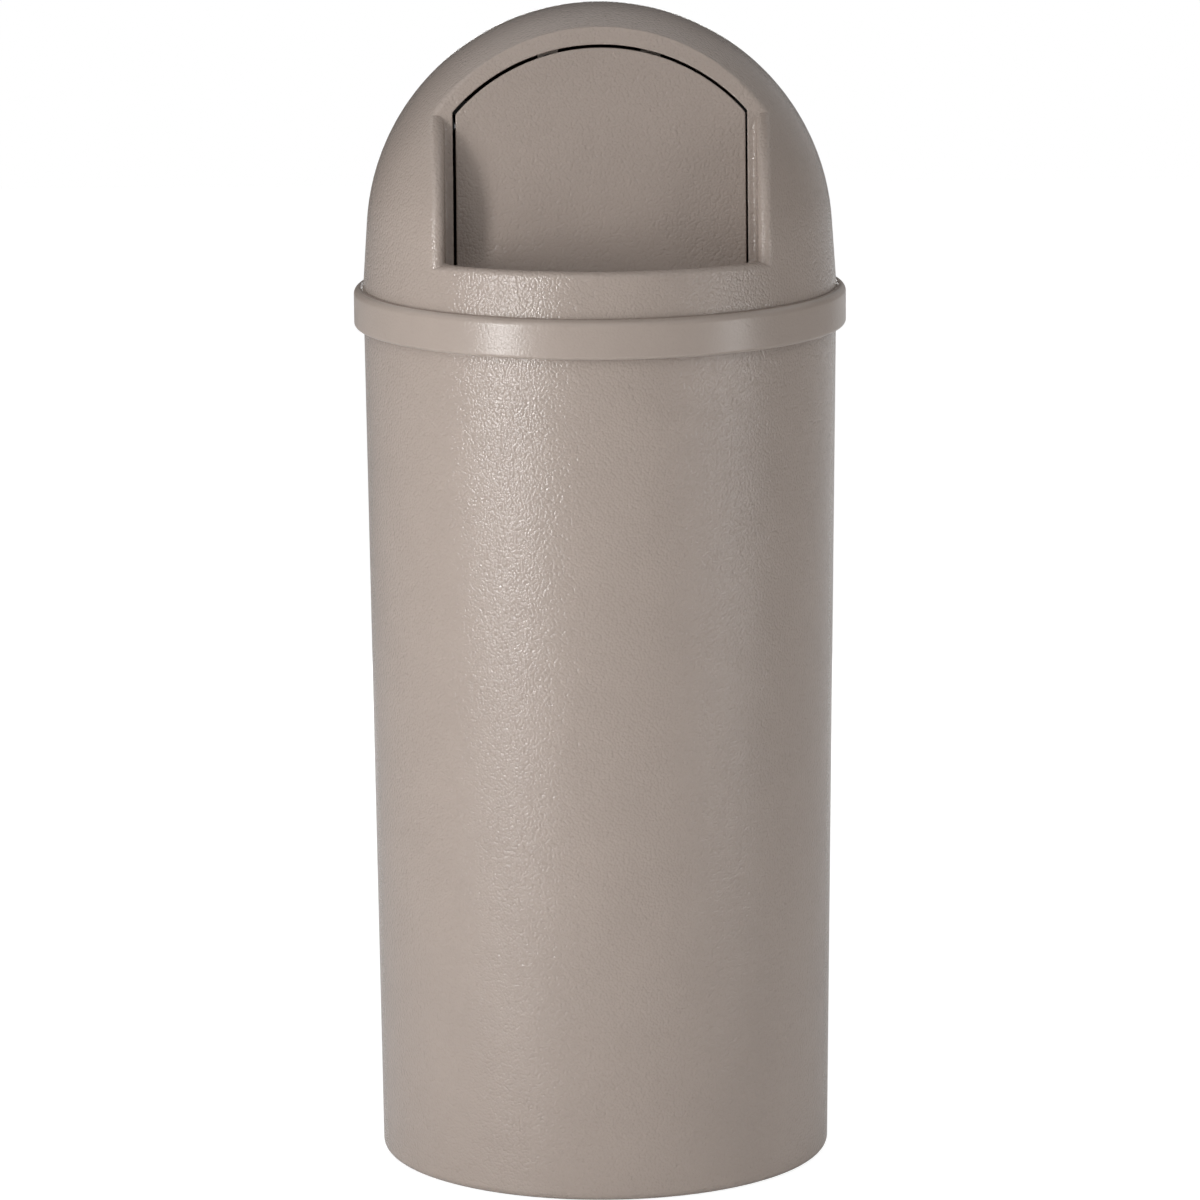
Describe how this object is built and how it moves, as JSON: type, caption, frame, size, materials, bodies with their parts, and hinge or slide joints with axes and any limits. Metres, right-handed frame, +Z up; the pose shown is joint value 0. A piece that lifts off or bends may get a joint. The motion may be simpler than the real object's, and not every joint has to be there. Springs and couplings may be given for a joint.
{
  "type": "dome top waste receptacle",
  "caption": "Tall round tapered tub with a lift-off domed hood and a sprung, arched push door that leans back in a recessed doorway.",
  "frame": {"origin": "middle of the base, on the floor plane that the foot ring stands on", "axes": "+Z up, doorway towards -Y, +X to the right when facing the doorway"},
  "size_m": [0.3906, 0.3904, 0.927],
  "materials": {
    "container_plastic": "fine pebbled grain, low sheen",
    "hood_plastic": "fine pebbled grain, low sheen",
    "door_plastic": "fine pebbled grain, low sheen",
    "band_plastic": "smooth",
    "zinc_steel": "zinc plated",
    "black_steel": "black coating",
    "spring_steel": "drawn wire",
    "bush_nylon": "black nylon",
    "black_rubber": "matte"
  },
  "bodies": {
    "container": {"container_body": "container_plastic", "liner_band": "band_plastic"},
    "dome": {"dome_top": "hood_plastic", "hinge_rod": "zinc_steel", "hinge_bracket_left": "black_steel", "hinge_bracket_right": "black_steel", "hinge_bush_left": "bush_nylon", "hinge_bush_right": "bush_nylon", "hinge_washer_left": "bush_nylon", "hinge_washer_right": "bush_nylon", "rod_cap_left": "black_rubber", "rod_cap_right": "black_rubber", "bracket_screws_left": "zinc_steel", "bracket_screws_right": "zinc_steel", "door_spring_left": "spring_steel", "door_spring_right": "spring_steel", "door_bumper_left": "black_rubber", "door_bumper_right": "black_rubber"},
    "door": {"push_door": "door_plastic", "spring_arm_left": "spring_steel", "spring_arm_right": "spring_steel"}
  },
  "joints": [
    {"name": "dome_lift", "type": "slide", "parent": "container", "child": "dome", "axis": [0, 0, 1], "range_m": [0, 0.12]},
    {"name": "door_swing", "type": "hinge", "parent": "dome", "child": "door", "pos_m": [0, -0.06773, 0.83829], "axis": [1, 0, 0], "range_deg": [0, 70], "stiffness_Nm_per_rad": 0.15, "springref_deg": -28.65}
  ]
}
